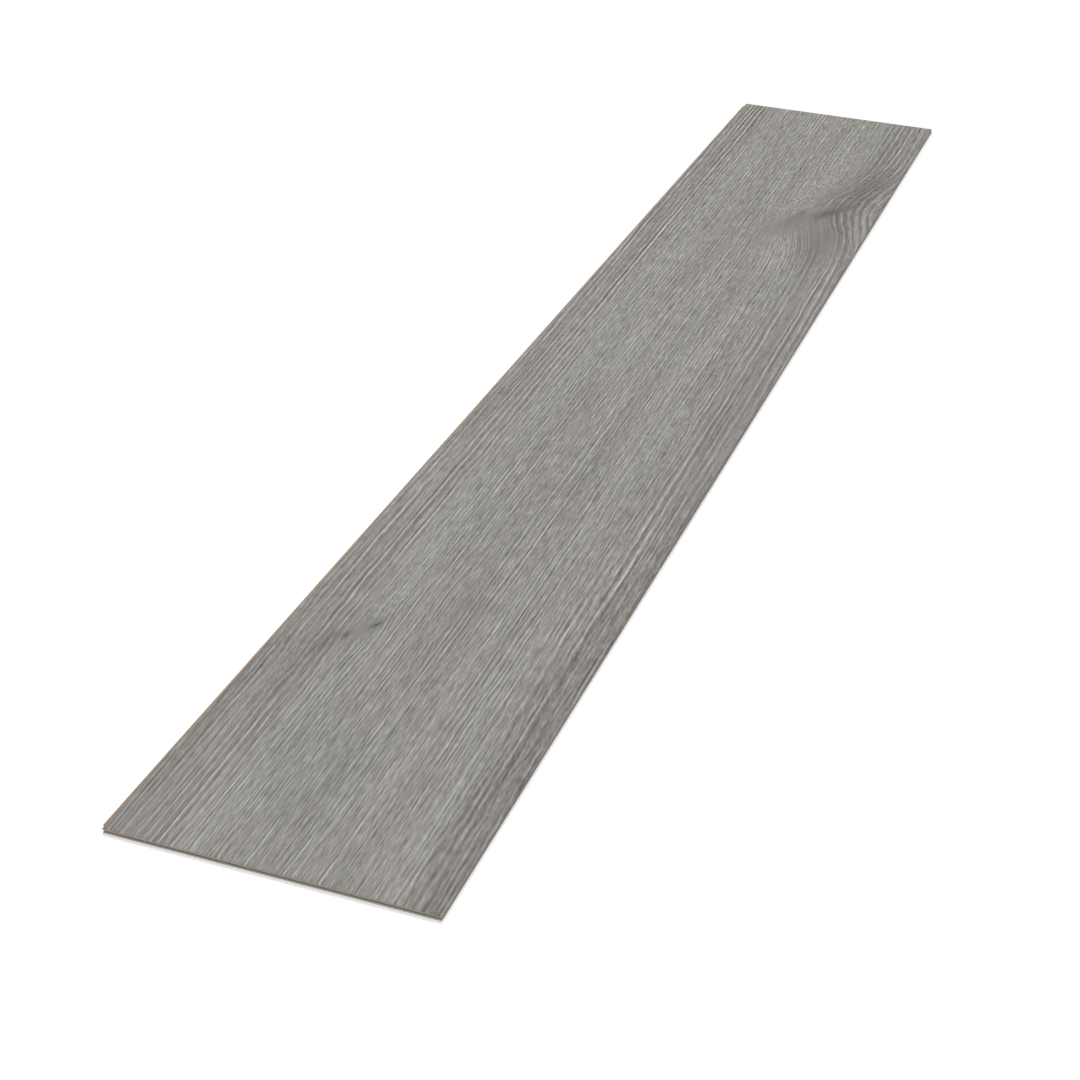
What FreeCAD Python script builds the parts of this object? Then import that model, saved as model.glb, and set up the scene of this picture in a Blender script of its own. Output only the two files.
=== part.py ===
import FreeCAD, Part
import math
import os

# A click-together vinyl floor plank, lying face up on its flat underside.
# X runs along the plank, from the groove end to the tongue end.
# Y runs across it, from the groove side to the tongue side, and Z is up from the underside.

# Driving dimensions, in millimetres

# The face that shows when laid, from joint line to joint line
face_length = 1220.0
face_width = 180.0

# The printed vinyl sheet bonded to the core, and the small bevel pressed round it
vinyl_thickness = 0.8
bevel_width = 0.8
bevel_depth = 0.35

# The core, from the underside up: the lip under the groove, the tongue's height, the lip over the groove
lower_lip_thickness = 0.95
tongue_thickness = 1.0
upper_lip_thickness = 0.45

# The tongue's outline past the joint line
tongue_reach = 1.8
nose_radius = 0.3
lead_in_rise = 0.25

# The locking bead under the tongue, which snaps past the lip's edge into the hollow behind it
bead_start = 0.5
bead_length = 0.8
bead_drop = 0.15

# What the groove is wider than the tongue all round
joint_clearance = 0.05

# Under the tongue the side stands back, so that two faces meet before the lips below them do
lip_gap = 0.3

# The broken corners along the underside
underside_chamfer = 0.2

# The tongues stop short of the corners, so that four planks can meet there
tongue_stop_at_groove = 4.0
tongue_stop_at_tongue = 6.0

# Sizes that follow

core_thickness = lower_lip_thickness + tongue_thickness + upper_lip_thickness
tongue_underside = lower_lip_thickness
tongue_top = lower_lip_thickness + tongue_thickness

# The origin is under the middle of the plank, with its tongues counted in
groove_end_x = -(face_length + tongue_reach) / 2
tongue_end_x = groove_end_x + face_length
groove_side_y = -(face_width + tongue_reach) / 2
tongue_side_y = groove_side_y + face_width


def along(across, height):
    """A point of a section that runs along the plank."""
    return FreeCAD.Vector(groove_end_x, groove_side_y + across, height)


def athwart(across, height):
    """A point of a section that runs from side to side."""
    return FreeCAD.Vector(groove_end_x + across, groove_side_y, height)


def polyline(points):
    """Straight edges from each point to the next."""
    return [Part.LineSegment(a, b).toShape() for a, b in zip(points, points[1:])]


def tongue_edges(place, joint_line, lower_root, grow):
    """The tongue's outline, from its root below to its root above, widened by grow.

    joint_line is where the face ends, and lower_root is where the flat underside begins.
    The same outline, widened by the clearance, is the groove that takes the next plank's tongue.
    """
    underside = tongue_underside - grow
    top = tongue_top + grow
    tip = joint_line + tongue_reach + grow
    radius = nose_radius + grow
    bead_from = joint_line + bead_start - grow
    bead_to = joint_line + bead_start + bead_length + grow
    bead_middle = (bead_from + bead_to) / 2
    nose_side = radius * (1 - math.sqrt(0.5))

    bead = Part.Arc(
        place(bead_from, underside),
        place(bead_middle, underside - bead_drop),
        place(bead_to, underside),
    )
    nose = Part.Arc(
        place(tip, top - radius),
        place(tip - nose_side, top - nose_side),
        place(tip - radius, top),
    )
    return [
        *polyline([place(lower_root, underside), place(bead_from, underside)]),
        bead.toShape(),
        *polyline([place(bead_to, underside), place(tip, underside + lead_in_rise), place(tip, top - radius)]),
        nose.toShape(),
        *polyline([place(tip - radius, top), place(joint_line, top)]),
    ]


def core_section(place, span):
    """The core's closed outline across span: groove at the start, tongue past the end."""
    shoulder = span - lip_gap
    underside = [
        place(0, tongue_underside - joint_clearance),
        place(0, underside_chamfer),
        place(underside_chamfer, 0),
        place(shoulder - underside_chamfer, 0),
        place(shoulder, underside_chamfer),
        place(shoulder, tongue_underside),
    ]
    upper_side = [
        place(span, tongue_top),
        place(span, core_thickness),
        place(0, core_thickness),
        place(0, tongue_top + joint_clearance),
    ]
    groove = tongue_edges(place, 0, 0, joint_clearance)
    return Part.Wire(
        [
            *polyline(underside),
            *tongue_edges(place, span, shoulder, 0),
            *polyline(upper_side),
            *reversed(groove),
        ]
    )


def vinyl_section(place, span):
    """The face sheet's closed outline across span, with a bevel at each upper corner."""
    top = core_thickness + vinyl_thickness
    corners = [
        place(0, core_thickness),
        place(span, core_thickness),
        place(span, top - bevel_depth),
        place(span - bevel_width, top),
        place(bevel_width, top),
        place(0, top - bevel_depth),
        place(0, core_thickness),
    ]
    return Part.Wire(polyline(corners))


def milled_all_round(section, reach):
    """What is left when one section is cut along the plank and then across it.

    reach is how far the section stands past the face at its tongue.
    """
    lengthwise = Part.Face(section(along, face_width))
    crosswise = Part.Face(section(athwart, face_length))
    long_sides = lengthwise.extrude(FreeCAD.Vector(face_length + reach, 0, 0))
    ends = crosswise.extrude(FreeCAD.Vector(0, face_width + reach, 0))
    return long_sides.common(ends)


def cut_away(low_x, high_x, low_y, high_y):
    """A block through the whole core, to cut a tongue back."""
    corner = FreeCAD.Vector(low_x, low_y, 0)
    return Part.makeBox(high_x - low_x, high_y - low_y, core_thickness, corner)


def tongue_stops():
    """The blocks that end both tongues short of the corners."""
    far_x = tongue_end_x + tongue_reach
    far_y = tongue_side_y + tongue_reach
    return [
        cut_away(groove_end_x, groove_end_x + tongue_stop_at_groove, tongue_side_y, far_y),
        cut_away(tongue_end_x - tongue_stop_at_tongue, far_x, tongue_side_y, far_y),
        cut_away(tongue_end_x, far_x, groove_side_y, groove_side_y + tongue_stop_at_groove),
        cut_away(tongue_end_x, far_x, tongue_side_y - tongue_stop_at_tongue, far_y),
    ]


def core_board():
    """The rigid core with the click profile milled into its sides and ends."""
    board = milled_all_round(core_section, tongue_reach)
    for stop in tongue_stops():
        board = board.cut(stop)
    return board.removeSplitter()


def vinyl_face():
    """The printed and bevelled vinyl sheet on the core's top face."""
    return milled_all_round(vinyl_section, 0)


pieces = {
    "core_board": core_board(),
    "vinyl_face": vinyl_face(),
}

os.makedirs("parts", exist_ok=True)
for name, piece in pieces.items():
    solid = piece.Solids[0]
    solid.exportStep(f"parts/{name}.step")
    box = solid.BoundBox
    print(
        f"{name}: {len(piece.Solids)} solid, valid {solid.isValid()}, {solid.Volume / 1000:.2f} cm3,"
        f" x {box.XMin:.3f} to {box.XMax:.3f}, y {box.YMin:.3f} to {box.YMax:.3f},"
        f" z {box.ZMin:.3f} to {box.ZMax:.3f}"
    )
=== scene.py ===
"""A grey wood-look click floor plank, lying on a pale floor.

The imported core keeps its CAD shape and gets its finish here. The vinyl face is modelled again as a closed
sheet whose rows follow the printed grain, so that the pressed relief and the print are in register.

Lengths are in metres. Along the plank, u runs from the front end, and v runs across it from the tongue side.
A grain line is known by w, the v that it would have if no knot pushed it aside.
"""

import logging
import math
from dataclasses import dataclass
from enum import Enum

import bpy
import numpy as np
from mathutils import Matrix, Vector


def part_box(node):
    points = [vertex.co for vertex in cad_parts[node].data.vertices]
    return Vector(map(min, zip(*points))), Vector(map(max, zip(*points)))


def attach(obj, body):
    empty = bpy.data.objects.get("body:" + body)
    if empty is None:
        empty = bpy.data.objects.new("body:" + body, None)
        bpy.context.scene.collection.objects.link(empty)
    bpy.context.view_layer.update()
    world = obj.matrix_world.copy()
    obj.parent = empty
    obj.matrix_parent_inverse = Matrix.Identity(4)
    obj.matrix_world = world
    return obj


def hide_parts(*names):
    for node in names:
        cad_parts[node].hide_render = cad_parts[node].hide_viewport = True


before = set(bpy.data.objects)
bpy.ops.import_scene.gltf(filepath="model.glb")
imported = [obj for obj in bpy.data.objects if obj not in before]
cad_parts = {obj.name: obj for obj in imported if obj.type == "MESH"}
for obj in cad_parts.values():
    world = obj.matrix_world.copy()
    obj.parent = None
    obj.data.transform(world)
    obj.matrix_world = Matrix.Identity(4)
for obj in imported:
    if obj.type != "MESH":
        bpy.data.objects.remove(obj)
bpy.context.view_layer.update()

Array = np.ndarray
Triple = tuple[float, float, float]
Span = tuple[float, float]
Socket = bpy.types.NodeSocket
Value = Socket | float

MILLIMETRE = 0.001
BOARD_LENGTH = 1.22
WHITE = (1.0, 1.0, 1.0)

# A distance times the bell of that distance is at most 1 / 2.33.
TO_PEAK = 2.33

# The two numbers of the usual screen curve, by which a level of 255 becomes a share of light
SCREEN_OFFSET = 0.055
SCREEN_POWER = 2.4

log = logging.getLogger("plank")


def ease(share: Array | float) -> Array:
    """Runs from 0 to 1 with level ends: three squares less two cubes of the share, held in that range."""
    held = np.clip(share, 0.0, 1.0)
    return held * held * (3.0 - 2.0 * held)


def crossing(place: Array, middle: float, half: float) -> Array:
    """Goes from 0 to 1 across a boundary, eased over the half-width on each side of its middle."""
    return ease((place - middle) / (2.0 * half) + 0.5)


def reached(place: Array, span: Span) -> Array:
    """Goes from 0 at the start of a span to 1 at its end, eased."""
    return ease((place - span[0]) / (span[1] - span[0]))


def grown(values: Span, share: Array) -> Array:
    """The first value, plus the second times the share."""
    return values[0] + values[1] * share


@dataclass(frozen=True)
class Edge:
    """A soft boundary between two stretches of the board, and what counts on one side of it."""

    middle: float
    half: float
    weight: float = 1.0

    def past(self, place: Array) -> Array:
        """The weight past the edge and 0 before it."""
        return self.weight * crossing(place, self.middle, self.half)

    def before(self, place: Array) -> Array:
        """The weight before the edge and 0 past it."""
        return self.weight * (1 - crossing(place, self.middle, self.half))


@dataclass(frozen=True)
class Stripe:
    """A soft stripe along the whole board."""

    middle: float
    half: float
    weight: float

    def at(self, place: Array) -> Array:
        """The weight times the bell of the distance from the middle."""
        return self.weight * np.exp(-(((place - self.middle) / self.half) ** 2))


@dataclass(frozen=True)
class Cloud:
    """Slow random shading, from one lattice of random numbers.

    Fields: the seed, the length and width of a lattice cell, and how many cells there are each way.
    """

    seed: int
    length: float
    width: float
    cells: int = 64

    def at(self, u: Array, w: Array) -> Array:
        """Blends the four lattice numbers round each point with eased weights.

        Args:
            u: Along the plank.
            w: The grain lines.

        Returns:
            A random height at each point, about 0 with a spread of about 0.6.
        """
        table = np.random.default_rng(self.seed).normal(size=(self.cells, self.cells))
        a = u / self.length + self.cells / 4
        b = w / self.width + self.cells / 4
        i = np.floor(a).astype(int)
        j = np.floor(b).astype(int)
        s = ease(a - i)
        t = ease(b - j)

        def row(k: Array) -> Array:
            """Blends the two numbers of one lattice row."""
            across = k % self.cells
            return (1 - s) * table[i % self.cells, across] + s * table[(i + 1) % self.cells, across]

        return (1 - t) * row(j) + t * row(j + 1)


@dataclass(frozen=True)
class LineWidths:
    """The width that grain lines are counted in, for each band of the board, and where the bands meet."""

    left: float = 0.00091
    middle: float = 0.00072
    right: float = 0.00113
    left_ends: float = 0.034
    right_begins: float = 0.150
    blend: float = 0.008
    counted: Span = (-0.06, 0.30)
    counts: int = 1441

    def count(self, w: Array) -> Array:
        """Counts line widths across the board: the running sum of 1 over the local width.

        Args:
            w: The grain lines.

        Returns:
            How many line widths lie between the board's left side and each point.
        """
        table = np.linspace(*self.counted, self.counts)
        past_left = crossing(table, self.left_ends, self.blend)
        in_right = crossing(table, self.right_begins, self.blend)
        width = self.left + (self.middle - self.left) * past_left + (self.right - self.middle) * in_right
        lines = np.concatenate([[0.0], np.cumsum(np.diff(table) / width[1:])])
        return np.interp(w, table, lines)


@dataclass(frozen=True)
class Streaks:
    """Long light and dark streaks, each with its own length and start.

    Fields: the seed, the mean length, the pitch of the rows and the width of a streak in line widths, the
    strength in levels of 255, how far the streaks lean to the light side, how far a row may stand out of its
    place, how many random strengths there are, and how much longer or shorter a row's streaks may be.
    """

    seed: int
    length: float
    pitch: float
    width: float
    weight: float
    bias: float = 0.0
    loose: float = 0.3
    rows: int = 512
    cells: int = 256
    stretches: Span = (0.6, 1.8)

    def at(self, u: Array, lines: Array) -> Array:
        """Adds the nearest six rows of streaks.

        Along a row the strength eases from one random number to the next. Across it, each streak is one less
        the square of the distance, times the bell of that distance, so a light line has dark sides.

        Args:
            u: Along the plank.
            lines: How many line widths each point is from the left side.

        Returns:
            Levels lighter or darker than the ground.
        """
        draw = np.random.default_rng(self.seed)
        table = draw.normal(size=(self.rows, self.cells))
        start = draw.uniform(0, self.cells, self.rows)
        stretch = draw.uniform(*self.stretches, self.rows)
        aside = draw.uniform(-self.loose, self.loose, self.rows)
        row = lines / self.pitch + self.rows / 4
        nearest = np.floor(row).astype(int)
        total = np.zeros_like(row)
        for step in range(-2, 4):
            k = (nearest + step) % self.rows
            along = u / (self.length * stretch[k]) + start[k]
            cell = np.floor(along).astype(int)
            share = ease(along - cell)
            one = table[k, cell % self.cells]
            other = table[k, (cell + 1) % self.cells]
            strength = self.bias + (1 - share) * one + share * other
            off = (row - (nearest + step) + aside[k]) * self.pitch / self.width
            total += strength * (1 - off * off) * np.exp(-off * off / 2)
        return self.weight * total


@dataclass(frozen=True)
class Arch:
    """The flame-shaped arch that the grain makes over the large knot at the right side, near the back."""

    u: float = 0.920
    lean: float = 0.068
    leans: Span = (0.105, 0.185)
    height: float = 0.022
    rises: Span = (0.094, 0.158)
    sinks: Span = (0.165, 0.210)
    sinks_by: float = 0.4
    before: float = 0.062
    after: float = 0.070

    def shift(self, u: Array, w: Array) -> Array:
        """Lifts the lines towards the left side by a bell that is steep before the knot and slow after it.

        Args:
            u: Along the plank.
            w: The grain lines.

        Returns:
            How far each line is pushed in v.
        """
        past = u - self.u - self.lean * reached(w, self.leans)
        reach = np.where(past < 0, self.before, self.after)
        rise = reached(w, self.rises)
        sink = 1 - self.sinks_by * reached(w, self.sinks)
        return -self.height * rise * sink * np.exp(-((past / reach) ** 2))


@dataclass(frozen=True)
class Eye:
    """A small knot that the grain parts round."""

    u: float
    v: float
    parts: float
    along: float
    across: float

    def shift(self, u: Array, w: Array) -> Array:
        """Pushes the lines on each side away: the distance across times the bell of the distance.

        Args:
            u: Along the plank.
            w: The grain lines.

        Returns:
            How far each line is pushed in v, at most about parts.
        """
        a = (u - self.u) / self.along
        b = (w - self.v) / self.across
        return TO_PEAK * self.parts * b * np.exp(-a * a - b * b)


@dataclass(frozen=True)
class Mark:
    """An oval patch that fades outwards, turned by an angle from the plank's length.

    Its place and its reach each way are in millimetres.
    """

    u: float
    v: float
    along: float
    across: float
    weight: float
    turn: float = 0.0

    def at(self, u: Array, v: Array) -> Array:
        """The weight times the bell of the distance, measured along and across the turned oval.

        Args:
            u: Along the plank.
            v: Across it.

        Returns:
            The mark's strength at each point.
        """
        cosine = math.cos(self.turn)
        sine = math.sin(self.turn)
        off_u = u / MILLIMETRE - self.u
        off_v = v / MILLIMETRE - self.v
        a = (off_u * cosine + off_v * sine) / self.along
        b = (off_v * cosine - off_u * sine) / self.across
        return self.weight * np.exp(-a * a - b * b)


@dataclass(frozen=True)
class Seam:
    """One thin line of the grain, stronger in some stretches than in others."""

    stripe: Stripe
    stretch: float = 0.07
    steady: float = 0.45
    strongest: float = 1.2

    def at(self, u: Array, w: Array) -> Array:
        """The stripe times a slow random strength, seeded by the line's place in hundredths of a millimetre.

        Args:
            u: Along the plank.
            w: The grain lines.

        Returns:
            Levels lighter or darker than the ground.
        """
        seed = round(self.stripe.middle * 1e5)
        drift = Cloud(seed, self.stretch, 1.0).at(u, np.zeros_like(w))
        strength = np.clip(self.steady + (1 - self.steady) * drift, 0.0, self.strongest)
        return strength * self.stripe.at(w)


@dataclass(frozen=True)
class Wander:
    """A random waver of the lines, and how much more it wavers near each of some marks."""

    cloud: Cloud
    amount: float
    round_marks: tuple[Mark, ...] = ()

    def shift(self, u: Array, w: Array) -> Array:
        """The cloud times the amount, which grows by the marks' strengths."""
        more = 1.0 + sum(mark.at(u, w) for mark in self.round_marks)
        return self.amount * more * self.cloud.at(u, w)


@dataclass(frozen=True)
class Grain:
    """The whole printed board: where its lines run, how light each point is, and how its tint drifts."""

    widths: LineWidths = LineWidths()
    tilt: float = -0.010
    tilt_about: float = 0.61
    search_steps: int = 26
    search_pace: float = 0.8
    pushes: tuple[Arch | Eye | Wander, ...] = (
        Arch(),
        Eye(u=0.214, v=0.043, parts=0.0016, along=0.022, across=0.009),
        Eye(u=0.492, v=0.139, parts=0.0009, along=0.012, across=0.004),
        Wander(
            Cloud(5, 0.034, 0.007),
            0.00030,
            (Mark(175, 18, 60, 16, 1.4), Mark(1030, 118, 90, 17, 1.5)),
        ),
        Wander(
            Cloud(7, 0.012, 0.004),
            0.00016,
            (Mark(175, 18, 60, 16, 1.5), Mark(1030, 118, 90, 17, 3)),
        ),
        Wander(Cloud(6, 0.300, 0.060), 0.00090),
    )
    long_streaks: Streaks = Streaks(seed=11, length=0.185, pitch=1.7, width=0.82, weight=17.2)
    middle_streaks: Streaks = Streaks(seed=12, length=0.042, pitch=1.4, width=0.70, weight=19.8)
    side_rows: Streaks = Streaks(
        seed=15, length=0.220, pitch=4.4, width=0.85, weight=13.0, bias=1.35, loose=0.06
    )
    seams: tuple[Seam, ...] = (
        Seam(Stripe(0.0932, 0.0006, 18.0)),
        Seam(Stripe(0.0948, 0.0006, -12.0)),
        Seam(Stripe(0.0973, 0.0006, 12.0)),
    )
    shading: tuple[tuple[Cloud, float], ...] = (
        (Cloud(21, 0.130, 0.011), 3.8),
        (Cloud(22, 0.050, 0.006), 2.8),
        (Cloud(23, 0.070, 0.0034), 2.6),
    )
    smooth_marks: tuple[Mark, ...] = (
        Mark(920, 108.5, 17, 9, 1.3, 0.1),
        Mark(927, 119, 29, 9.5, 1.3, 0.3),
        Mark(958, 133, 21, 8.5, 1.3, 0.45),
        Mark(982, 150, 14, 5, 0.9, 0.5),
        Mark(920, 138, 38, 11, 0.5, -0.2),
        Mark(900, 152, 45, 17, 0.75, -0.15),
        Mark(215, 43.5, 16, 5.8, 1.25, 0.55),
        Mark(494.5, 139, 8, 3, 1.15),
    )
    tone_marks: tuple[Mark, ...] = (
        Mark(956, 135, 15, 3.6, -17, 0.08), Mark(965.5, 140.5, 12.5, 4.8, -29, 0.5),
        Mark(962, 138, 28, 11, -4, 0.3), Mark(950, 148, 130, 20, -18, 0.05),
        Mark(200, 170, 160, 8, -3), Mark(70, 94, 80, 7, -4),
        Mark(1150, 61, 80, 8, -4), Mark(1080, 108, 80, 10, -4),
        Mark(1010, 130, 50, 8, -5, 0.2), Mark(1150, 106, 60, 8, -3),
        Mark(50, 90, 70, 6, -3), Mark(530, 168, 70, 7, -4),
        Mark(700, 150, 120, 7, -5), Mark(1120, 19, 180, 13, -4.5),
        Mark(600, 90, 700, 5, -2.5), Mark(1150, 156, 80, 14, -5),
        Mark(900, 99, 300, 9, -3), Mark(987, 153.5, 15, 4, -17, 0.5),
        Mark(955, 118.5, 14, 3.8, -14, 0.25), Mark(940, 119, 32, 9.5, -14, 0.35),
        Mark(1100, 162, 90, 14, -6), Mark(925, 117, 25, 10, -5, 0.2),
        Mark(1045, 164, 52, 12, -18, 0.15), Mark(1010, 150, 50, 11, -11, 0.2),
        Mark(870, 150, 48, 7, -11, -0.05), Mark(935, 162, 45, 12, -7, -0.2),
        Mark(206.3, 37.5, 3.6, 1.2, -54, 0.08), Mark(222.8, 49.4, 4, 1.3, -62, 0.45),
        Mark(205, 31.8, 4, 2, -16), Mark(214, 43, 24, 7, -12, 0.6),
        Mark(193, 28.5, 12, 3.2, -16), Mark(189, 9.5, 7, 2.7, -20),
        Mark(159, 8, 5, 1.8, -18), Mark(231, 50, 7, 3, -10, 0.2),
        Mark(170, 20, 45, 12, -6, 0.1), Mark(490.2, 139.4, 3, 2.2, -30),
        Mark(499, 139, 3.4, 1.6, -18), Mark(530, 160, 45, 6.5, -13),
        Mark(966, 127.5, 7, 2.2, 10, 0.5), Mark(972, 129.5, 4, 1.4, 10, 1),
        Mark(941.9, 108, 4.5, 0.9, 20, 0.1), Mark(955, 112.8, 5, 1, 24, 0.2),
        Mark(967, 117.2, 4, 0.9, 18, 0.3), Mark(976.5, 123, 5.2, 1, 24, 0.22),
        Mark(990, 135.2, 6, 1, 22, 0.2), Mark(1002, 144.6, 7, 1, 20, 0.18),
        Mark(494.4, 138.6, 2.4, 1.7, 18), Mark(400, 117, 550, 9.5, 5),
        Mark(840, 118, 50, 9, 10), Mark(850, 128, 45, 8, 9, -0.1),
        Mark(1150, 123, 90, 10, 2), Mark(380, 36, 100, 13, 5),
        Mark(700, 36, 80, 13, 6), Mark(380, 164, 80, 12, 7.5),
        Mark(70, 144, 70, 8, 3), Mark(690, 129, 90, 7, 8),
        Mark(530, 23, 240, 10, 3.5), Mark(690, 58, 160, 10, 3),
        Mark(70, 148, 80, 7, 5), Mark(850, 58, 60, 8, 4),
    )
    wavy_marks: tuple[Mark, ...] = (
        Mark(1020, 112, 110, 15, 1, 0.1),
        Mark(975, 106, 50, 8, 0.9, 0.3),
        Mark(1035, 155, 60, 12, 0.8, 0.1),
        Mark(165, 17, 48, 13, 0.5),
        Mark(250, 48, 30, 12, 0.6),
    )
    warm_marks: tuple[Mark, ...] = (
        Mark(210, 42, 40, 10, 1.4, 0.5),
        Mark(950, 130, 80, 22, 0.5, 0.2),
    )

    # Where the regular rows of the two sides are
    left_rows_end: Edge = Edge(0.034, 0.006)
    right_rows_begin: Edge = Edge(0.147, 0.006)

    # How strongly the random streaks show, and how much the sides take off, each with its gain to the far end
    vigours: Span = (0.68, 0.36)
    left_calm: Span = (0.26, -0.16)
    right_calm: Span = (0.02, 0.40)
    right_calms: Edge = Edge(0.40, 0.08)
    right_stirs: Edge = Edge(0.86, 0.08, 0.4)
    smooth_loss: float = 0.86

    # How strongly the regular rows show, each with its gain
    left_rows: Span = (1.15, 0.9)
    right_rows: Span = (0.6, 0.6)
    right_rows_grow: Edge = Edge(0.35, 0.12)
    wavy_loss: float = 0.5

    # The darker sides and the pale band beside the left one
    corner_side: Edge = Edge(0.162, 0.003, 10.0)
    corner_end: Edge = Edge(0.30, 0.04)
    darker_right: Edge = Edge(0.158, 0.008, 3.0)
    darker_left: Edge = Edge(0.030, 0.006, 5.0)
    pale_band: Stripe = Stripe(0.045, 0.010, 3.0)

    # Where the tint leans to warm grey and to green grey
    tint_drift: float = 0.8
    tint_cloud: Cloud = Cloud(31, 0.09, 0.009)
    green_band: Stripe = Stripe(0.045, 0.009, 1.5)
    warm_right: Edge = Edge(0.155, 0.002, 1.3)
    warm_left: Edge = Edge(0.030, 0.004, 0.8)
    turns_green: Edge = Edge(0.35, 0.6)

    def shift(self, u: Array, w: Array) -> Array:
        """How far the tilt and all the pushes move each line in v, which is v less w at each point."""
        return self.tilt * (u - self.tilt_about) + sum(push.shift(u, w) for push in self.pushes)

    def line(self, u: Array, v: Array) -> Array:
        """Finds the grain line through each point, by stepping towards the w whose pushed place is v.

        Args:
            u: Along the plank.
            v: Across it.

        Returns:
            w at each point.
        """
        w = v.copy()
        for _ in range(self.search_steps):
            w = w + self.search_pace * (v - w - self.shift(u, w))
        return w

    def side_bands(self, w: Array) -> tuple[Array, Array]:
        """1 in the band of regular rows along the left side of the board, and the same for the right side."""
        return self.left_rows_end.before(w), self.right_rows_begin.past(w)

    def vigour(self, u: Array, w: Array) -> Array:
        """How strongly the random streaks show.

        They grow towards the far end, and are weaker in the side bands, where regular rows take their place.

        Args:
            u: Along the plank.
            w: The grain lines.

        Returns:
            A factor from about 0.5 to 1.
        """
        left, right = self.side_bands(w)
        far = u / BOARD_LENGTH
        calm = self.right_calms.past(u) * (1 - self.right_stirs.past(u))
        beside_left = 1 - left * grown(self.left_calm, far)
        beside_right = 1 - right * grown(self.right_calm, calm)
        return grown(self.vigours, far) * beside_left * beside_right

    def fineness(self, u: Array, v: Array, w: Array) -> Array:
        """Near 1 where the print has its full grain, and near 0 in the smooth wood of the knots."""
        smooth = np.clip(sum(mark.at(u, v) for mark in self.smooth_marks), 0.0, 1.0)
        return self.vigour(u, w) * (1 - self.smooth_loss * smooth)

    def streaks(self, u: Array, v: Array, w: Array) -> Array:
        """Adds up the streaks, rows and seams that the relief follows.

        The rows of the left side grow with the cube of the way along the board.

        Args:
            u: Along the plank.
            v: Across it.
            w: The grain lines.

        Returns:
            Levels lighter or darker than the ground.
        """
        lines = self.widths.count(w)
        left, right = self.side_bands(w)
        total = self.long_streaks.at(u, lines) + self.middle_streaks.at(u, lines)
        left_rows = left * grown(self.left_rows, (u / BOARD_LENGTH) ** 3)
        right_rows = right * grown(self.right_rows, self.right_rows_grow.past(u))
        rows = (left_rows + right_rows) * self.side_rows.at(u, lines)
        steady = rows + sum(seam.at(u, w) for seam in self.seams)
        total = total + steady / self.vigour(u, w)
        return total * self.fineness(u, v, w) * (1 - self.wavy_loss * self.waviness(u, v))

    def shade(self, u: Array, v: Array, w: Array) -> Array:
        """Adds up the slow shading, the knots' marks and the darker sides of the board.

        Args:
            u: Along the plank.
            v: Across it.
            w: The grain lines.

        Returns:
            Levels lighter or darker than the mean colour.
        """
        total = sum(weight * cloud.at(u, w) for cloud, weight in self.shading)
        total = total + sum(mark.at(u, v) for mark in self.tone_marks)
        corner = self.corner_side.past(v) * self.corner_end.before(u)
        sides = self.darker_right.past(v) + self.darker_left.before(v)
        return total - corner - sides + self.pale_band.at(v)

    def green(self, u: Array, w: Array) -> Array:
        """How far the tint leans from warm grey to green grey, from 0 to 1.

        Args:
            u: Along the plank.
            w: The grain lines.

        Returns:
            The share of green grey at each point.
        """
        lean = self.tint_drift * self.tint_cloud.at(u, w) + self.green_band.at(w)
        sides = self.warm_right.past(w) + self.warm_left.before(w)
        knots = sum(mark.at(u, w) for mark in self.warm_marks)
        return self.turns_green.past(lean - sides - knots)

    def waviness(self, u: Array, v: Array) -> Array:
        """1 where the print is a fine wavy texture more than straight lines, beside the knots."""
        return np.clip(sum(mark.at(u, v) for mark in self.wavy_marks), 0.0, 1.0)


class Sum(Enum):
    """The sums that the finishes' nodes do."""

    ADD = "ADD"
    SUBTRACT = "SUBTRACT"
    MULTIPLY = "MULTIPLY"
    MAXIMUM = "MAXIMUM"
    LESS = "LESS_THAN"
    GREATER = "GREATER_THAN"


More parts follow.
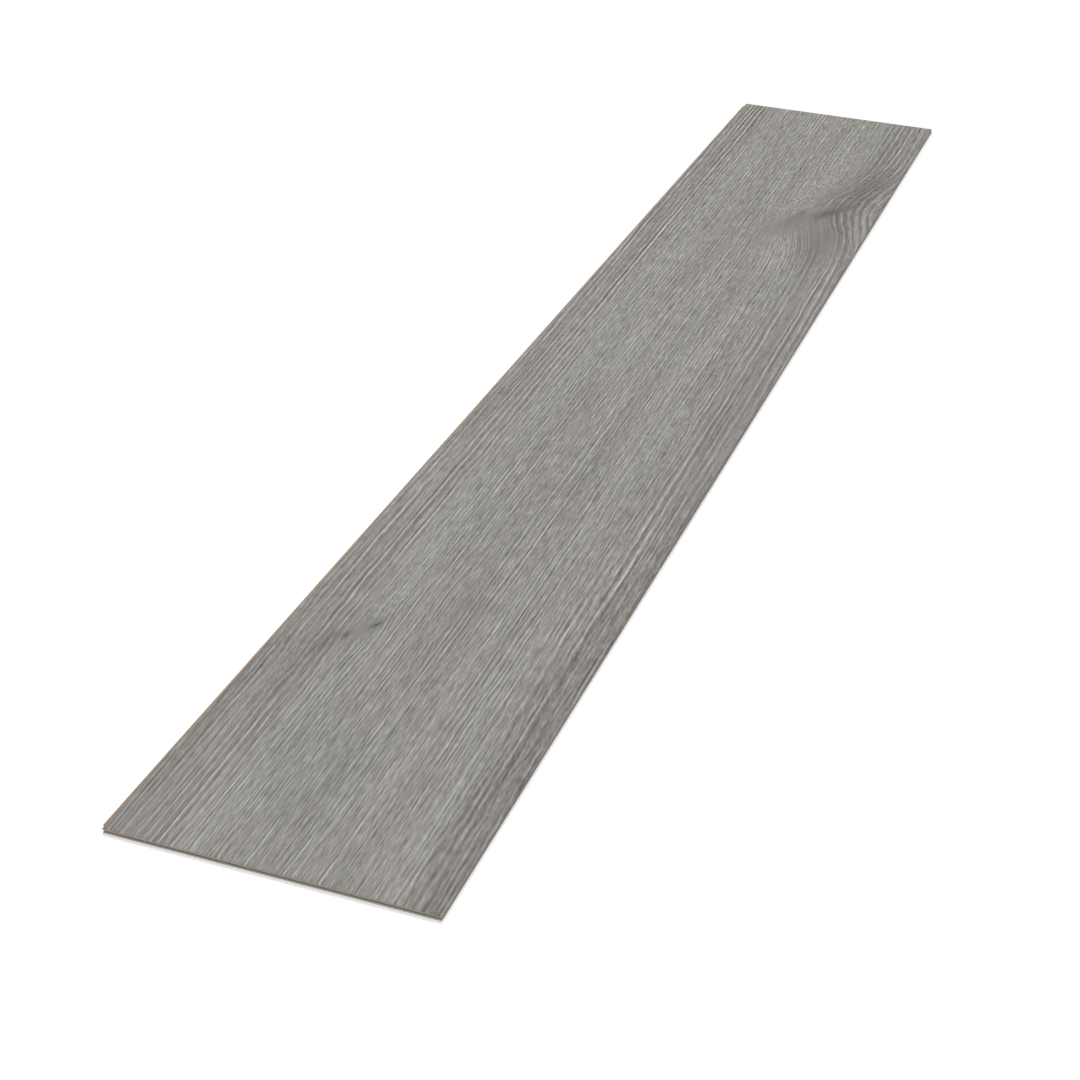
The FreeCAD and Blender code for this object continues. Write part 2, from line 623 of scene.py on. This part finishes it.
class Recipe:
    """A node tree, with short calls for the nodes that the finishes and the sky share."""

    def __init__(self, tree: bpy.types.NodeTree) -> None:
        """Starts with an empty tree."""
        self.tree = tree
        self.tree.nodes.clear()

    def add(self, kind: str, **settings: str) -> bpy.types.Node:
        """Adds a node.

        Args:
            kind: Blender's name for the kind of node.
            settings: The choices and names that the node itself holds.

        Returns:
            The node.
        """
        node = self.tree.nodes.new(kind)
        for name, value in settings.items():
            setattr(node, name, value)
        return node

    def put(self, value: Value | Triple, socket: Socket) -> None:
        """Joins a socket to another, or sets it to a plain value.

        Args:
            value: The other socket, or the plain value. A colour gets its fourth number here.
            socket: The socket that takes it.
        """
        if isinstance(value, bpy.types.NodeSocket):
            self.tree.links.new(value, socket)
        else:
            socket.default_value = (*value, 1.0) if socket.type == "RGBA" else value

    def sum(self, kind: Sum, a: Value, b: Value) -> Socket:
        """Does one sum.

        Args:
            kind: Which sum.
            a: The first number.
            b: The second number.

        Returns:
            The socket that gives the result.
        """
        node = self.add("ShaderNodeMath", operation=kind.value)
        self.put(a, node.inputs[0])
        self.put(b, node.inputs[1])
        return node.outputs[0]

    def fit(self, value: Socket, given: Span, wanted: Span = (0.0, 1.0)) -> Socket:
        """Maps a number from one range to another and holds it there.

        Args:
            value: The number.
            given: The range it comes in.
            wanted: The range it goes to.

        Returns:
            The socket that gives the result.
        """
        node = self.add("ShaderNodeMapRange")
        names = ("From Min", "From Max", "To Min", "To Max")
        for name, number in zip(names, (*given, *wanted)):
            self.put(number, node.inputs[name])
        self.put(value, node.inputs["Value"])
        return node.outputs["Result"]

    def coordinates(self) -> Socket:
        """Object coordinates, which are the CAD frame's metres."""
        return self.add("ShaderNodeTexCoord").outputs["Object"]

    def noise(
        self, place: Socket, scale: Triple, detail: float, offset: Triple = (0.0, 0.0, 0.0), kind: str = "3D"
    ) -> Socket:
        """Smooth random values from 0 to 1.

        Args:
            place: The coordinates.
            scale: How many humps there are in each of their units.
            detail: How many finer layers are added.
            offset: What is added to the scaled coordinates.
            kind: Blender's name for how many of the coordinates count.

        Returns:
            The socket that gives the values.
        """
        mapping = self.add("ShaderNodeMapping")
        self.put(place, mapping.inputs["Vector"])
        self.put(scale, mapping.inputs["Scale"])
        self.put(offset, mapping.inputs["Location"])
        node = self.add("ShaderNodeTexNoise", noise_dimensions=kind)
        self.put(1.0, node.inputs["Scale"])
        self.put(detail, node.inputs["Detail"])
        self.put(mapping.outputs["Vector"], node.inputs["Vector"])
        return node.outputs["Fac"]

    def mottle(self, scale: Triple, detail: float) -> Socket:
        """Noise on Object coordinates."""
        return self.noise(self.coordinates(), scale, detail)

    def mix(self, share: Value, one: Socket | Triple, other: Socket | Triple) -> Socket:
        """Mixes two colours.

        Args:
            share: How much of the other colour is taken.
            one: The first colour.
            other: The second colour.

        Returns:
            The socket that gives the colour.
        """
        node = self.add("ShaderNodeMix", data_type="RGBA")
        self.put(share, node.inputs["Factor"])
        for value, name in ((one, "A"), (other, "B")):
            self.put(value, next(s for s in node.inputs if s.name == name and s.type == "RGBA"))
        return next(s for s in node.outputs if s.type == "RGBA")

    def bump(self, height: Socket, depth: float, strength: float, onto: Socket | None = None) -> Socket:
        """Raises the surface's shading by a height map.

        Args:
            height: The height, from 0 to 1.
            depth: How deep a height of 1 is.
            strength: How much of it is felt.
            onto: Another bump that this one is laid over.

        Returns:
            The socket that gives the normals.
        """
        node = self.add("ShaderNodeBump")
        self.put(depth, node.inputs["Distance"])
        self.put(strength, node.inputs["Strength"])
        self.put(height, node.inputs["Height"])
        if onto is not None:
            self.put(onto, node.inputs["Normal"])
        return node.outputs["Normal"]

    def seen_otherwise(self, lit: Socket, seen: Socket, output: Socket) -> None:
        """Shows a camera, a gloss or a glass one shader, and lets another take and give the light.

        Args:
            lit: The shader that takes and gives the light.
            seen: The shader that is seen.
            output: The socket that takes the two.
        """
        path = self.add("ShaderNodeLightPath")
        direct = self.sum(Sum.MAXIMUM, path.outputs["Is Camera Ray"], path.outputs["Is Glossy Ray"])
        either = self.add("ShaderNodeMixShader")
        self.put(self.sum(Sum.MAXIMUM, direct, path.outputs["Is Transmission Ray"]), either.inputs[0])
        self.put(lit, either.inputs[1])
        self.put(seen, either.inputs[2])
        self.put(either.outputs[0], output)


class Finish(Recipe):
    """A material's recipe, with one Principled shader."""

    def __init__(self, name: str) -> None:
        """Makes the material and joins the shader to its output.

        Args:
            name: The material's name.
        """
        self.material = bpy.data.materials.new(name)
        self.material.use_nodes = True
        super().__init__(self.material.node_tree)
        self.shader = self.add("ShaderNodeBsdfPrincipled")
        self.output = self.add("ShaderNodeOutputMaterial").inputs["Surface"]
        self.put(self.shader.outputs["BSDF"], self.output)

    def give(self, name: str, value: Value) -> None:
        """Gives the shader one of its values."""
        self.put(value, self.shader.inputs[name])

    def gloss(self, drift: Socket, roughness: float, uneven: float, specular: float) -> None:
        """Gives the shader a roughness that drifts evenly to both sides of its mean, and its reflection."""
        self.give("Roughness", self.fit(drift, (0.3, 0.7), (roughness - uneven, roughness + uneven)))
        self.give("Specular IOR Level", specular)


@dataclass(frozen=True)
class ShortStreaks:
    """One layer of short printed streaks, which the shader draws along the grain lines.

    Fields: the length and width of a streak, its turn from the grain, its strength in levels of 255, and a
    shift that sets the layer apart from the others.
    """

    length: float
    width: float
    turn: float
    weight: float
    apart: float

    def drawn(self, recipe: Recipe, lines: Socket) -> Socket:
        """Draws noise squeezed to the streak's length and width, less its middle, times the strength.

        Args:
            recipe: The material's recipe.
            lines: Coordinates along and across the grain lines.

        Returns:
            The socket that gives levels lighter or darker than the ground.
        """
        scale = (1 / self.length, 1 / self.width, 1.0)
        turned = recipe.add("ShaderNodeVectorRotate", rotation_type="Z_AXIS")
        recipe.put(self.turn, turned.inputs["Angle"])
        recipe.put(lines, turned.inputs["Vector"])
        offset = (self.apart, 1.7 * self.apart, 0.0)
        noise = recipe.noise(turned.outputs["Vector"], scale, 0.0, offset, "2D")
        return recipe.sum(Sum.MULTIPLY, recipe.sum(Sum.SUBTRACT, noise, 0.5), self.weight)


@dataclass(frozen=True)
class PrintedVinyl:
    """Matt embossed vinyl with a printed wood grain.

    The mesh gives each point's level, tint and fineness, and the shader adds the short streaks. Levels are of
    255. The ground is the mean level, and warm and green are what the two tints add to it in each colour.
    """

    ground: float = 136.0
    level_span: float = 200.0
    warm: Triple = (11.2, 7.5, 1.7)
    green: Triple = (9.4, 8.1, 1.1)
    layers: tuple[ShortStreaks, ...] = (
        ShortStreaks(0.0170, 0.00096, 0.00, 68.0, 0.0),
        ShortStreaks(0.0060, 0.00084, 0.04, 51.0, 31.0),
    )
    waves: ShortStreaks = ShortStreaks(0.0048, 0.00082, 0.30, 16.0, 67.0)
    more_waves: float = 4.4
    calmer: float = 0.35
    scratches: ShortStreaks = ShortStreaks(0.0052, 0.00115, -0.30, 150.0, 93.0)
    scratch_floor: float = 12.0
    roughness: float = 0.56
    uneven: float = 0.07
    specular: float = 0.24
    press: float = 0.07 * MILLIMETRE
    pressed_by: float = 30.0
    skin: float = 0.012 * MILLIMETRE

    def made(self, attribute: str, uv_map: str) -> bpy.types.Material:
        """Builds the material.

        Args:
            attribute: The mesh colour that holds level, tint, fineness and waviness.
            uv_map: The UV map that holds u and the line count in metres.

        Returns:
            The material.
        """
        recipe = Finish("printed_vinyl")
        given = recipe.add("ShaderNodeAttribute", attribute_name=attribute)
        parts = recipe.add("ShaderNodeSeparateColor")
        recipe.put(given.outputs["Color"], parts.inputs["Color"])
        wavy = given.outputs["Alpha"]
        lines = recipe.add("ShaderNodeUVMap", uv_map=uv_map).outputs["UV"]

        short = 0.0
        for layer in self.layers:
            short = recipe.sum(Sum.ADD, layer.drawn(recipe, lines), short)
        calm = recipe.sum(Sum.SUBTRACT, 1.0, recipe.sum(Sum.MULTIPLY, wavy, self.calmer))
        more = recipe.sum(Sum.ADD, recipe.sum(Sum.MULTIPLY, wavy, self.more_waves), 1.0)
        waves = recipe.sum(Sum.MULTIPLY, self.waves.drawn(recipe, lines), more)
        scratches = recipe.sum(Sum.SUBTRACT, self.scratches.drawn(recipe, lines), self.scratch_floor)
        scratches = recipe.sum(Sum.MULTIPLY, recipe.sum(Sum.MAXIMUM, scratches, 0.0), wavy)
        crossed = recipe.sum(Sum.ADD, waves, scratches)
        short = recipe.sum(Sum.ADD, recipe.sum(Sum.MULTIPLY, short, calm), crossed)
        short = recipe.sum(Sum.MULTIPLY, short, parts.outputs["Blue"])

        long = recipe.sum(Sum.SUBTRACT, parts.outputs["Red"], 0.5)
        long = recipe.sum(Sum.MULTIPLY, long, self.level_span)
        level = recipe.sum(Sum.ADD, recipe.sum(Sum.ADD, long, short), self.ground)
        tinted = recipe.add("ShaderNodeVectorMath")
        recipe.put(level, tinted.inputs[0])
        recipe.put(recipe.mix(parts.outputs["Green"], self.warm, self.green), tinted.inputs[1])
        share = recipe.add("ShaderNodeVectorMath", operation="MULTIPLY_ADD")
        recipe.put(tinted.outputs[0], share.inputs[0])
        recipe.put((1 / (255 * (1 + SCREEN_OFFSET)),) * 3, share.inputs[1])
        recipe.put((SCREEN_OFFSET / (1 + SCREEN_OFFSET),) * 3, share.inputs[2])
        linear = recipe.add("ShaderNodeGamma")
        recipe.put(share.outputs[0], linear.inputs["Color"])
        recipe.put(SCREEN_POWER, linear.inputs["Gamma"])
        recipe.give("Base Color", linear.outputs["Color"])

        mottle = recipe.mottle((60.0, 400.0, 400.0), 2.0)
        recipe.gloss(mottle, self.roughness, self.uneven, self.specular)

        height = recipe.sum(Sum.MULTIPLY, short, 1 / self.pressed_by)
        pressed = recipe.bump(height, self.press, 0.6)
        skin = recipe.mottle((2200.0, 2600.0, 2600.0), 1.0)
        recipe.give("Normal", recipe.bump(skin, self.skin, 0.5, onto=pressed))
        return recipe.material


@dataclass(frozen=True)
class PressedCore:
    """The tan core: a fine mineral and plastic compound, with faint lines where the cutters ran."""

    dark: Triple = (0.315, 0.204, 0.130)
    light: Triple = (0.525, 0.364, 0.246)
    pale_speck: Triple = (0.80, 0.68, 0.52)
    dark_speck: Triple = (0.22, 0.13, 0.08)
    paint: Triple = (0.41, 0.380, 0.343)
    paint_covers: float = 0.92
    paint_reaches: float = 1.9 * MILLIMETRE
    paint_above: float = 0.1 * MILLIMETRE
    roughness: float = 0.68
    uneven: float = 0.08
    specular: float = 0.30
    cut: float = 0.03 * MILLIMETRE
    rolled: float = 0.02 * MILLIMETRE
    grain: float = 0.04 * MILLIMETRE

    def painted(self, recipe: Recipe, low: Vector) -> Socket:
        """Finds the two groove edges, which are sealed with grey paint from the bevel to near the underside.

        Args:
            recipe: The core's recipe.
            low: The core's lowest corner.

        Returns:
            How far the paint covers each place.
        """
        split = recipe.add("ShaderNodeSeparateXYZ")
        recipe.put(recipe.coordinates(), split.inputs[0])
        at_end = recipe.sum(Sum.LESS, split.outputs["X"], low[0] + self.paint_reaches)
        at_side = recipe.sum(Sum.LESS, split.outputs["Y"], low[1] + self.paint_reaches)
        above = recipe.sum(Sum.GREATER, split.outputs["Z"], self.paint_above)
        edges = recipe.sum(Sum.MULTIPLY, recipe.sum(Sum.MAXIMUM, at_end, at_side), above)
        return recipe.sum(Sum.MULTIPLY, edges, self.paint_covers)

    def made(self, low: Vector) -> bpy.types.Material:
        """Builds the material: compound, specks, painted edges, cutter lines and roller lines.

        Args:
            low: The core's lowest corner.

        Returns:
            The material.
        """
        recipe = Finish("pressed_core")
        body = recipe.mottle((700.0, 700.0, 1400.0), 3.0)
        drift = recipe.mottle((9.0, 26.0, 60.0), 2.0)
        fine = recipe.sum(Sum.MULTIPLY, body, 0.55)
        tone = recipe.sum(Sum.ADD, fine, recipe.sum(Sum.MULTIPLY, drift, 0.45))
        ground = recipe.mix(recipe.fit(tone, (0.34, 0.66)), self.dark, self.light)

        grit = recipe.mottle((2600.0, 2600.0, 2600.0), 1.0)
        pale = recipe.mix(recipe.fit(grit, (0.66, 0.76), (0.0, 0.55)), ground, self.pale_speck)
        specked = recipe.mix(recipe.fit(grit, (0.34, 0.25), (0.0, 0.5)), pale, self.dark_speck)
        recipe.give("Base Color", recipe.mix(self.painted(recipe, low), specked, self.paint))
        recipe.gloss(grit, self.roughness, self.uneven, self.specular)

        milled = recipe.bump(recipe.mottle((24.0, 24.0, 9000.0), 1.0), self.cut, 0.5)
        drawn = recipe.bump(recipe.mottle((6.0, 2400.0, 6.0), 2.0), self.rolled, 0.35, onto=milled)
        recipe.give("Normal", recipe.bump(body, self.grain, 0.5, onto=drawn))
        return recipe.material


@dataclass(frozen=True)
class PaleFloor:
    """A matt white studio floor, seen whiter still towards its rim, where the lamps are weaker."""

    colour: Triple = (0.90, 0.90, 0.90)
    dimmer: float = 0.985
    seen: Triple = (1.25, 1.25, 1.25)
    seen_at_rim: Triple = (1.60, 1.60, 1.60)
    whitens: Span = (0.75, 1.75)
    roughness: float = 0.9
    specular: float = 0.1

    def made(self) -> bpy.types.Material:
        """Builds the material: white and very faintly uneven, and whiter where a camera or a gloss sees it.

        Returns:
            The material.
        """
        recipe = Finish("pale_floor")
        low = tuple(self.dimmer * value for value in self.colour)
        recipe.give("Base Color", recipe.mix(recipe.mottle((1.3, 1.3, 1.3), 2.0), low, self.colour))
        recipe.give("Roughness", self.roughness)
        recipe.give("Specular IOR Level", self.specular)
        reach = recipe.add("ShaderNodeVectorMath", operation="LENGTH")
        recipe.put(recipe.coordinates(), reach.inputs[0])
        rim = recipe.fit(reach.outputs["Value"], self.whitens)
        whiter = recipe.add("ShaderNodeBsdfDiffuse")
        recipe.put(recipe.mix(rim, self.seen, self.seen_at_rim), whiter.inputs["Color"])
        recipe.seen_otherwise(recipe.shader.outputs["BSDF"], whiter.outputs["BSDF"], recipe.output)
        return recipe.material


@dataclass
class EmbossedFace:
    """The printed vinyl sheet: its pressed bevel, and a relief in register with the grain."""

    grain: Grain
    finish: PrintedVinyl
    bevel_width: float = 0.8 * MILLIMETRE
    bevel_depth: float = 0.35 * MILLIMETRE
    relief: float = 0.09 * MILLIMETRE
    relief_levels: float = 13.0
    columns: int = 214
    rows: int = 462
    coarse: float = 9.0 * MILLIMETRE
    fine_stretches: tuple[Triple, ...] = (
        (0.15, 0.28, 4.2 * MILLIMETRE),
        (0.84, 1.12, 4.2 * MILLIMETRE),
        (0.19, 0.24, 2.2 * MILLIMETRE),
        (0.93, 1.00, 3.0 * MILLIMETRE),
        (0.484, 0.504, 2.4 * MILLIMETRE),
    )
    stretch_blend: float = 10.0 * MILLIMETRE
    column_samples: int = 4001
    rows_settle: float = 0.030
    line_unit: float = 0.7 * MILLIMETRE
    rim_darker: float = 3.0
    sharp_from: float = 0.5
    name: str = "embossed_face"
    node: str = "vinyl_face"
    attribute: str = "print_level"
    uv_map: str = "grain_lines"

    def __post_init__(self) -> None:
        """Takes the sheet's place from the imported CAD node."""
        low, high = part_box(self.node)
        self.low = np.array(low)
        self.high = np.array(high)
        self.length = float(self.high[0] - self.low[0])
        self.width = float(self.high[1] - self.low[1])

    def column_places(self) -> Array:
        """Spreads the columns: the running sum of one over the local spacing, cut into equal steps.

        Returns:
            u of each column, with the bevel's two lines at each end.
        """
        inner = np.linspace(self.bevel_width, self.length - self.bevel_width, self.column_samples)
        spacing = np.full_like(inner, self.coarse)
        for start, end, fine in self.fine_stretches:
            inside = Edge(start, self.stretch_blend).past(inner) * Edge(end, self.stretch_blend).before(inner)
            spacing += (fine - spacing) * inside
        steps = np.concatenate([[0.0], np.cumsum(np.diff(inner) / spacing[1:])])
        places = np.interp(np.linspace(0, steps[-1], self.columns - 2), steps, inner)
        return np.concatenate([[0.0], places, [self.length]])

    def grid(self) -> tuple[Array, Array]:
        """Lays the rows along the grain lines and lets them settle to straight lines at the two sides.

        Returns:
            u and v of each point, one line of the arrays for each column.
        """
        inner = np.linspace(self.bevel_width, self.width - self.bevel_width, self.rows - 2)
        straight = np.concatenate([[0.0], inner, [self.width]])
        u, w = np.meshgrid(self.column_places(), straight, indexing="ij")
        from_side = np.minimum(w, self.width - w) - self.bevel_width
        v = w + ease(from_side / self.rows_settle) * self.grain.shift(u, w)
        return u, v

    def past_bevel(self, u: Array, v: Array) -> Array:
        """0 at the rim, 1 from the bevel's inner line inwards, and straight in between."""
        from_rim = np.minimum(np.minimum(u, self.length - u), np.minimum(v, self.width - v))
        return np.clip(from_rim / self.bevel_width, 0.0, 1.0)

    def top(self, u: Array, v: Array, streaks: Array) -> Array:
        """The sheet's upper surface.

        It is the top plane, less half the relief times one less the limited strength of the streaks, so that
        dark lines are pressed in and light ones stay up, less the bevel, which falls straight to the rim.

        Args:
            u: Along the plank.
            v: Across it.
            streaks: The streaks' levels.

        Returns:
            The height of each point.
        """
        inside = self.past_bevel(u, v)
        pressed = 0.5 * self.relief * (1 - np.tanh(streaks / self.relief_levels)) * inside
        return self.high[2] - pressed - self.bevel_depth * (1 - inside)

    def ring(self, values: Array) -> Array:
        """Adds the two lower edges to each column, which take the values of the rims over them."""
        return np.pad(values, ((0, 0), (1, 1)), mode="edge")

    def faces(self) -> list[list[int]]:
        """Joins each column's ring of points to the next one's, and closes both ends, all facing outwards.

        Returns:
            The corners of each face.
        """
        count = self.rows + 2
        i, j = np.meshgrid(np.arange(self.columns - 1), np.arange(count), indexing="ij")
        here = (i * count + j).ravel()
        beside = (i * count + (j + 1) % count).ravel()
        quads = np.stack([here, beside, beside + count, here + count], axis=1).tolist()
        last = (self.columns - 1) * count
        front = [0, *range(count - 1, 0, -1)]
        back = [*range(last + 1, last + count), last]
        return [*quads, front, back]

    def build(self) -> bpy.types.Object:
        """Makes the sheet's mesh with its print.

        Returns:
            The sheet, dressed, riding on the plank's only body.
        """
        u, v = self.grid()
        w = self.grain.line(u, v)
        streaks = self.grain.streaks(u, v, w)
        z = self.ring(self.top(u, v, streaks))
        z[:, [0, -1]] = self.low[2]
        points = np.stack([self.low[0] + self.ring(u), self.high[1] - self.ring(v), z], axis=-1)

        mesh = bpy.data.meshes.new(self.name)
        mesh.from_pydata(points.reshape(-1, 3), [], self.faces())
        self.colour(mesh, u, v, w, streaks)
        mesh.polygons.foreach_set("use_smooth", np.ones(len(mesh.polygons), dtype=bool))
        mesh.set_sharp_from_angle(angle=self.sharp_from)
        mesh.update()
        piece = bpy.data.objects.new(self.name, mesh)
        bpy.context.scene.collection.objects.link(piece)
        mesh.materials.append(self.finish.made(self.attribute, self.uv_map))
        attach(piece, "root")
        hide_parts(self.node)
        return piece

    def colour(self, mesh: bpy.types.Mesh, u: Array, v: Array, w: Array, streaks: Array) -> None:
        """Stores the print on the mesh: level, tint, fineness and waviness, and the map of u and lines.

        Args:
            mesh: The sheet's mesh.
            u: Along the plank.
            v: Across it.
            w: The grain lines.
            streaks: The streaks' levels.
        """
        darker = self.rim_darker * (1 - self.past_bevel(u, v))
        level = 0.5 + (streaks + self.grain.shade(u, v, w) - darker) / self.finish.level_span
        layers = (level, self.grain.green(u, w), self.grain.fineness(u, v, w), self.grain.waviness(u, v))
        colours = np.stack([self.ring(layer) for layer in layers], axis=-1)
        attribute = mesh.color_attributes.new(self.attribute, "FLOAT_COLOR", "POINT")
        attribute.data.foreach_set("color", np.clip(colours, 0.0, 1.0).astype(np.float32).ravel())

        lines = self.grain.widths.count(w) * self.line_unit
        places = np.stack([self.ring(u), self.ring(lines)], axis=-1).reshape(-1, 2)
        corner = np.empty(len(mesh.loops), dtype=np.int32)
        mesh.loops.foreach_get("vertex_index", corner)
        uv = mesh.uv_layers.new(name=self.uv_map)
        uv.data.foreach_set("uv", places[corner].astype(np.float32).ravel())


@dataclass
class CoreBoard:
    """The milled core, which keeps its CAD shape."""

    finish: PressedCore
    node: str = "core_board"
    slot: str = "core"

    def dress(self) -> bpy.types.Object:
        """Gives the CAD node its finish.

        Returns:
            The CAD node.
        """
        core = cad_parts[self.node]
        core.data.materials.clear()
        core.data.materials.append(self.finish.made(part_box(self.node)[0]))
        return core


@dataclass(frozen=True)
class Softbox:
    """A square studio lamp that looks at the middle of the plank."""

    name: str
    place: Triple
    size: float
    power: float

    def hang(self) -> None:
        """Makes the lamp and turns it to the plank."""
        lamp = bpy.data.lights.new(self.name, "AREA")
        lamp.shape = "SQUARE"
        lamp.size = self.size
        lamp.energy = self.power
        holder = bpy.data.objects.new(self.name, lamp)
        holder.location = self.place
        holder.rotation_euler = (-Vector(self.place)).to_track_quat("-Z", "Y").to_euler()
        bpy.context.scene.collection.objects.link(holder)


@dataclass(frozen=True)
class Viewpoint:
    """The camera's place, direction and lens, worked out from the corners of the plank's face."""

    place: Triple = (-1.330, -0.380, 0.652)
    yaw: float = math.radians(18.92)
    pitch: float = math.radians(-29.86)
    roll: float = math.radians(1.83)
    focal: float = 2126.0
    frame_width: float = 1080.0
    sensor: float = 36.0

    def set_up(self) -> None:
        """Makes the camera.

        Its forward direction is the yaw from +X towards +Y, with the pitch above the floor. Right and up
        follow from it, and are turned about it by the roll.
        """
        level = math.cos(self.pitch)
        forward = Vector((math.cos(self.yaw) * level, math.sin(self.yaw) * level, math.sin(self.pitch)))
        right = forward.cross(Vector((0.0, 0.0, 1.0))).normalized()
        up = right.cross(forward)
        cosine = math.cos(self.roll)
        sine = math.sin(self.roll)
        turned_right = cosine * right + sine * up
        turned_up = cosine * up - sine * right
        lens = bpy.data.cameras.new("viewpoint")
        lens.sensor_width = self.sensor
        lens.lens = self.focal / self.frame_width * self.sensor
        lens.clip_start = 0.01
        camera = bpy.data.objects.new("viewpoint", lens)
        turn = Matrix((turned_right, turned_up, -forward)).transposed().to_4x4()
        camera.matrix_world = Matrix.Translation(Vector(self.place)) @ turn
        bpy.context.scene.collection.objects.link(camera)
        bpy.context.scene.camera = camera


@dataclass
class Studio:
    """The pale floor, the lamps, the sky and the camera."""

    floor_half: float = 1.7
    sky: float = 0.36
    sky_seen: float = 1.0
    lamps: tuple[Softbox, ...] = (
        Softbox("key_lamp", (3.2, 1.6, 5.2), 3.0, 152.0),
        Softbox("fill_lamp", (-2.2, -0.6, 1.9), 1.8, 27.0),
    )
    viewpoint: Viewpoint = Viewpoint()
    finish: PaleFloor = PaleFloor()

    def lay_floor(self) -> None:
        """Makes a level square floor under the plank."""
        half = self.floor_half
        mesh = bpy.data.meshes.new("studio_floor")
        corners = [(-half, -half, 0.0), (half, -half, 0.0), (half, half, 0.0), (-half, half, 0.0)]
        mesh.from_pydata(corners, [], [(0, 1, 2, 3)])
        mesh.materials.append(self.finish.made())
        floor = bpy.data.objects.new("studio_floor", mesh)
        bpy.context.scene.collection.objects.link(floor)

    def light_sky(self) -> None:
        """Sets an even white sky, which the camera, gloss and glass see as white."""
        world = bpy.data.worlds.new("studio_sky")
        bpy.context.scene.world = world
        world.use_nodes = True
        recipe = Recipe(world.node_tree)
        skies = []
        for strength in (self.sky, self.sky_seen):
            background = recipe.add("ShaderNodeBackground")
            recipe.put(WHITE, background.inputs["Color"])
            recipe.put(strength, background.inputs["Strength"])
            skies.append(background.outputs[0])
        recipe.seen_otherwise(*skies, recipe.add("ShaderNodeOutputWorld").inputs["Surface"])

    def build(self) -> None:
        """Builds the whole studio."""
        self.viewpoint.set_up()
        self.lay_floor()
        self.light_sky()
        for lamp in self.lamps:
            lamp.hang()
        bpy.context.scene.view_settings.view_transform = "Standard"


@dataclass
class Plank:
    """The whole plank: the embossed face on its milled core."""

    face: EmbossedFace
    core: CoreBoard

    def build(self) -> list[bpy.types.Object]:
        """Builds the face and dresses the core.

        Returns:
            Both pieces.
        """
        return [self.face.build(), self.core.dress()]


def corners(box: tuple[Vector, Vector]) -> list[list[float]]:
    """A box's lowest and highest corners as plain numbers."""
    return [[float(value) for value in corner] for corner in box]


def main() -> None:
    """Builds the plank and its studio."""
    logging.basicConfig(level=logging.INFO, format="%(name)s: %(message)s")
    Studio().build()
    plank = Plank(EmbossedFace(Grain(), PrintedVinyl()), CoreBoard(PressedCore()))
    for piece in plank.build():
        log.info("%s: %d faces", piece.name, len(piece.data.polygons))


if __name__ == "__main__":
    main()
